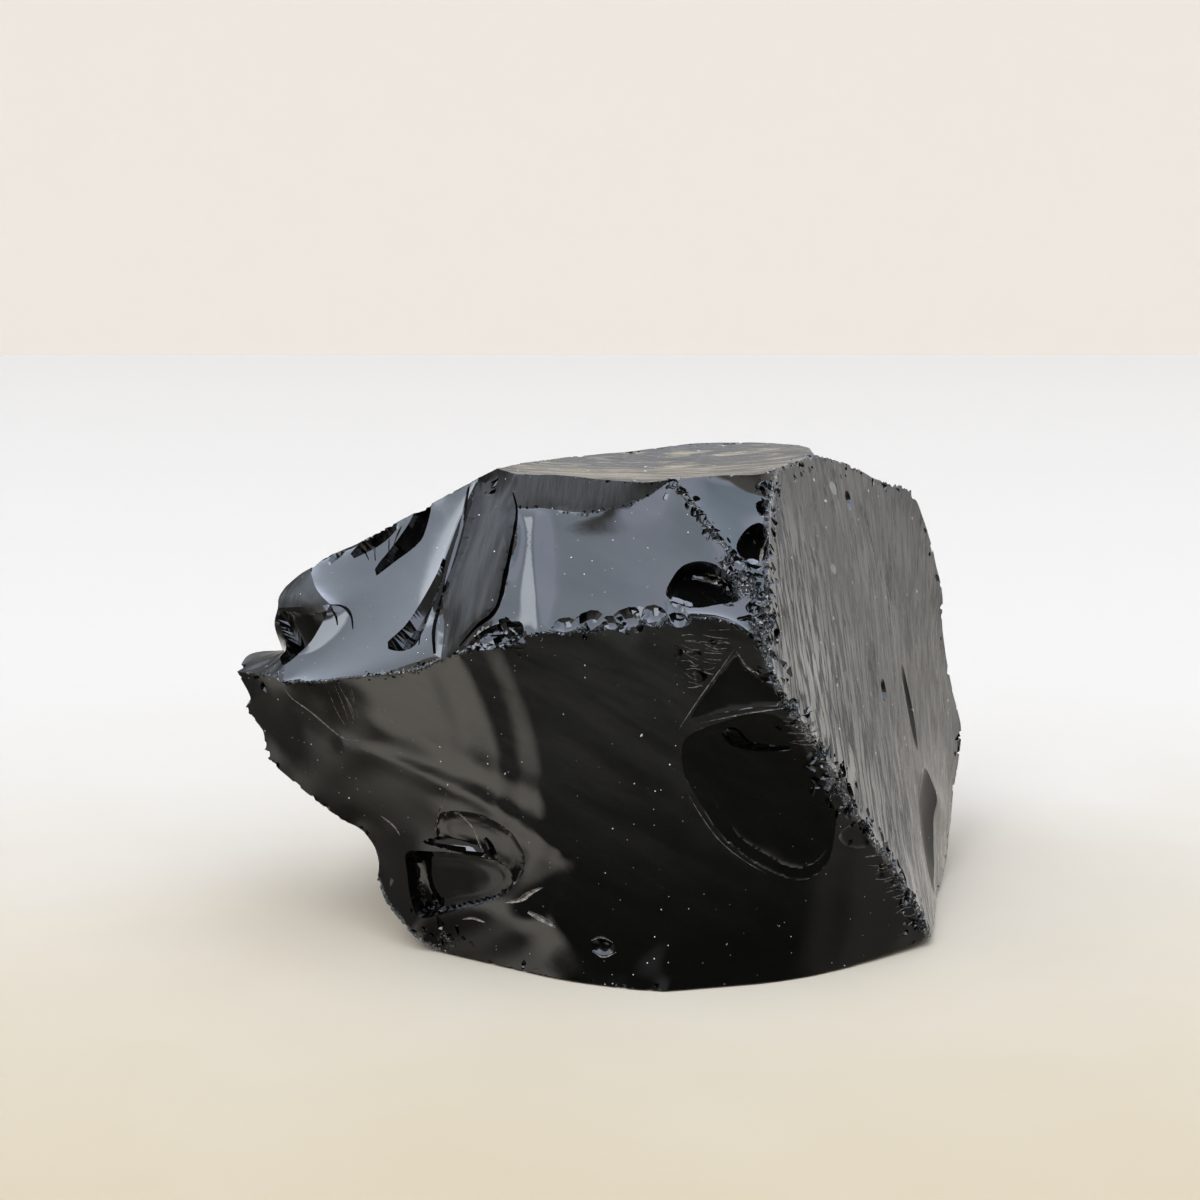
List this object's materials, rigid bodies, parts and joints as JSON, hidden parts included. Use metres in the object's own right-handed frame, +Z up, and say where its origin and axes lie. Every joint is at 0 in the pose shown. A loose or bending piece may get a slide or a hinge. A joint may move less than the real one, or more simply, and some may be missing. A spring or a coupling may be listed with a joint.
{
  "type": "obsidian chunk",
  "caption": "Raw chunk of black volcanic glass with broad conchoidal faces, sharp chipped ridges and a flat underside that it rests on.",
  "frame": {"origin": "the middle of the chunk's box, on the surface it rests on", "axes": "+Z up; +X along the chunk's longest side, from its thin wing towards its broad rough side; +Y from the front, with the largest glassy face, to the back"},
  "size_m": [0.0758, 0.0467, 0.0461],
  "materials": {
    "obsidian": "glossy"
  },
  "bodies": {
    "root": {"obsidian_chunk": "obsidian"}
  },
  "joints": []
}
